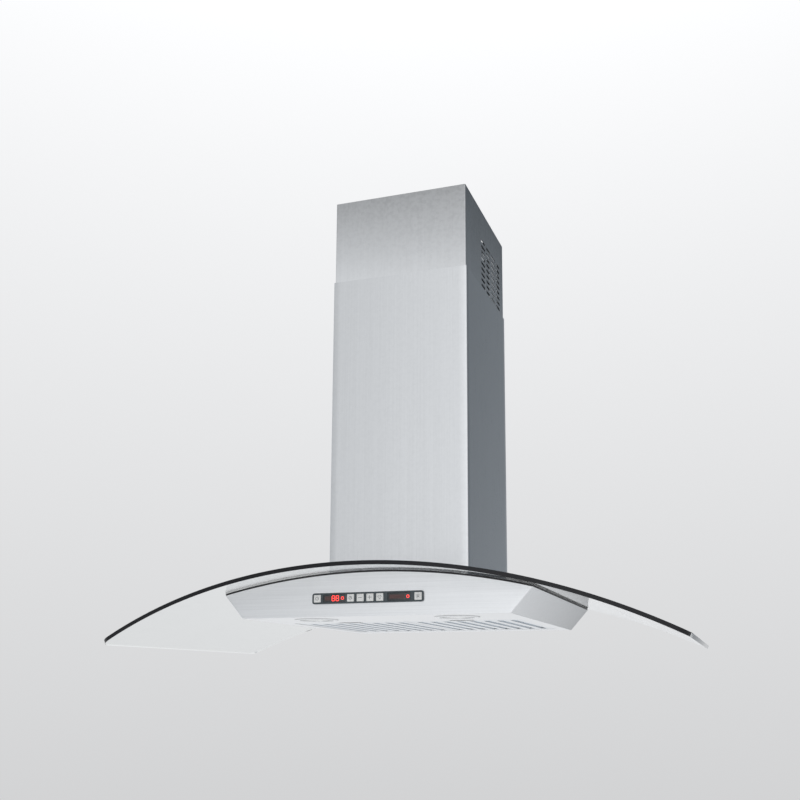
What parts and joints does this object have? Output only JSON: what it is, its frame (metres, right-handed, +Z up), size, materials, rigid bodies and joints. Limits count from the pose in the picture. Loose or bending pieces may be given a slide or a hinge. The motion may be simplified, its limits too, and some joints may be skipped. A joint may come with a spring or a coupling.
{
  "type": "island range hood",
  "caption": "Ceiling-hung cooker hood: telescopic square chimney, curved glass canopy over a steel body with a control strip, lamps, baffle filters and a ducted blower.",
  "frame": {"origin": "middle of the ceiling plate's top face, where the hood meets the ceiling", "axes": "+Z up to the ceiling, +X along the glass canopy's width, -Y to the front with the controls"},
  "size_m": [0.9, 0.6, 0.7491],
  "materials": {
    "chimney_steel": "brushed along the height",
    "body_steel": "satin",
    "zinc_steel": "galvanised",
    "bright_steel": "polished",
    "canopy_glass": "clear, with a dark edge",
    "black_rubber": "matt",
    "black_plastic": "moulded",
    "white_plastic": "moulded",
    "strip_plastic": "satin gloss",
    "button_plastic": "moulded, with small grey symbols",
    "display_window": "dark red, gloss",
    "circuit_board": "lacquered",
    "lamp_glass": "frosted",
    "filter_steel": "satin",
    "motor_iron": "painted"
  },
  "bodies": {
    "ceiling_frame": {"ceiling_plate": "zinc_steel", "upper_post_front_left": "zinc_steel", "upper_post_front_right": "zinc_steel", "upper_post_rear_left": "zinc_steel", "upper_post_rear_right": "zinc_steel"},
    "hood": {"lower_chimney": "chimney_steel", "body_shell": "body_steel", "underside_panel": "body_steel", "chassis_plate": "zinc_steel", "air_neck": "zinc_steel", "blower_base": "zinc_steel", "blower_box": "zinc_steel", "motor_bracket": "zinc_steel", "outlet_collar": "zinc_steel", "lamp_can_left": "zinc_steel", "lamp_can_right": "zinc_steel", "lower_post_front_left": "zinc_steel", "lower_post_front_right": "zinc_steel", "lower_post_rear_left": "zinc_steel", "lower_post_rear_right": "zinc_steel", "standoff_front_left": "zinc_steel", "standoff_front_right": "zinc_steel", "standoff_rear_left": "zinc_steel", "standoff_rear_right": "zinc_steel", "damper_pin": "bright_steel", "lamp_ring_left": "bright_steel", "lamp_ring_right": "bright_steel", "glass_canopy": "canopy_glass", "glass_gasket": "black_rubber", "scroll_housing": "black_plastic", "terminal_box": "black_plastic", "control_tray": "black_plastic", "display_module_1": "black_plastic", "display_module_2": "black_plastic", "cable_gland": "white_plastic", "capacitor": "white_plastic", "lamp_transformer": "white_plastic", "control_strip": "strip_plastic", "display_lens_1": "display_window", "display_lens_2": "display_window", "control_board": "circuit_board", "lamp_lens_left": "lamp_glass", "lamp_lens_right": "lamp_glass", "motor": "motor_iron"},
    "upper_cover": {"upper_chimney": "chimney_steel"},
    "impeller": {"impeller": "black_plastic", "motor_shaft": "bright_steel"},
    "flap_front": {"damper_flap_front": "zinc_steel"},
    "flap_rear": {"damper_flap_rear": "zinc_steel"},
    "filter_left": {"filter_left": "filter_steel"},
    "filter_right": {"filter_right": "filter_steel"},
    "latch_left": {"filter_latch_left": "black_plastic"},
    "latch_right": {"filter_latch_right": "black_plastic"},
    "button_1": {"button_1": "button_plastic"},
    "button_2": {"button_2": "button_plastic"},
    "button_3": {"button_3": "button_plastic"},
    "button_4": {"button_4": "button_plastic"},
    "button_5": {"button_5": "button_plastic"},
    "button_6": {"button_6": "button_plastic"}
  },
  "joints": [
    {"name": "cover_slide", "type": "slide", "parent": "ceiling_frame", "child": "upper_cover", "axis": [0, 0, 1], "range_m": [-0.13, 0]},
    {"name": "height_slide", "type": "slide", "parent": "ceiling_frame", "child": "hood", "axis": [0, 0, 1], "range_m": [-0.16, 0.12]},
    {"name": "impeller_spin", "type": "hinge", "parent": "hood", "child": "impeller", "pos_m": [0, 0, -0.522], "axis": [1, 0, 0], "continuous": true},
    {"name": "flap_front_swing", "type": "hinge", "parent": "hood", "child": "flap_front", "pos_m": [0, 0, -0.386], "axis": [-1, 0, 0], "range_deg": [0, 75]},
    {"name": "flap_rear_swing", "type": "hinge", "parent": "hood", "child": "flap_rear", "pos_m": [0, 0, -0.386], "axis": [1, 0, 0], "range_deg": [0, 75]},
    {"name": "filter_left_swing", "type": "hinge", "parent": "hood", "child": "filter_left", "pos_m": [-0.09375, 0.188, -0.708], "axis": [1, 0, 0], "range_deg": [0, 70]},
    {"name": "latch_left_slide", "type": "slide", "parent": "filter_left", "child": "latch_left", "axis": [0, 1, 0], "range_m": [0, 0.005], "stiffness_N_per_m": 300},
    {"name": "filter_right_swing", "type": "hinge", "parent": "hood", "child": "filter_right", "pos_m": [0.09375, 0.188, -0.708], "axis": [1, 0, 0], "range_deg": [0, 70]},
    {"name": "latch_right_slide", "type": "slide", "parent": "filter_right", "child": "latch_right", "axis": [0, 1, 0], "range_m": [0, 0.005], "stiffness_N_per_m": 300},
    {"name": "button_1_press", "type": "slide", "parent": "hood", "child": "button_1", "axis": [0, 1, 0], "range_m": [0, 0.0012], "stiffness_N_per_m": 600},
    {"name": "button_2_press", "type": "slide", "parent": "hood", "child": "button_2", "axis": [0, 1, 0], "range_m": [0, 0.0012], "stiffness_N_per_m": 600},
    {"name": "button_3_press", "type": "slide", "parent": "hood", "child": "button_3", "axis": [0, 1, 0], "range_m": [0, 0.0012], "stiffness_N_per_m": 600},
    {"name": "button_4_press", "type": "slide", "parent": "hood", "child": "button_4", "axis": [0, 1, 0], "range_m": [0, 0.0012], "stiffness_N_per_m": 600},
    {"name": "button_5_press", "type": "slide", "parent": "hood", "child": "button_5", "axis": [0, 1, 0], "range_m": [0, 0.0012], "stiffness_N_per_m": 600},
    {"name": "button_6_press", "type": "slide", "parent": "hood", "child": "button_6", "axis": [0, 1, 0], "range_m": [0, 0.0012], "stiffness_N_per_m": 600}
  ]
}
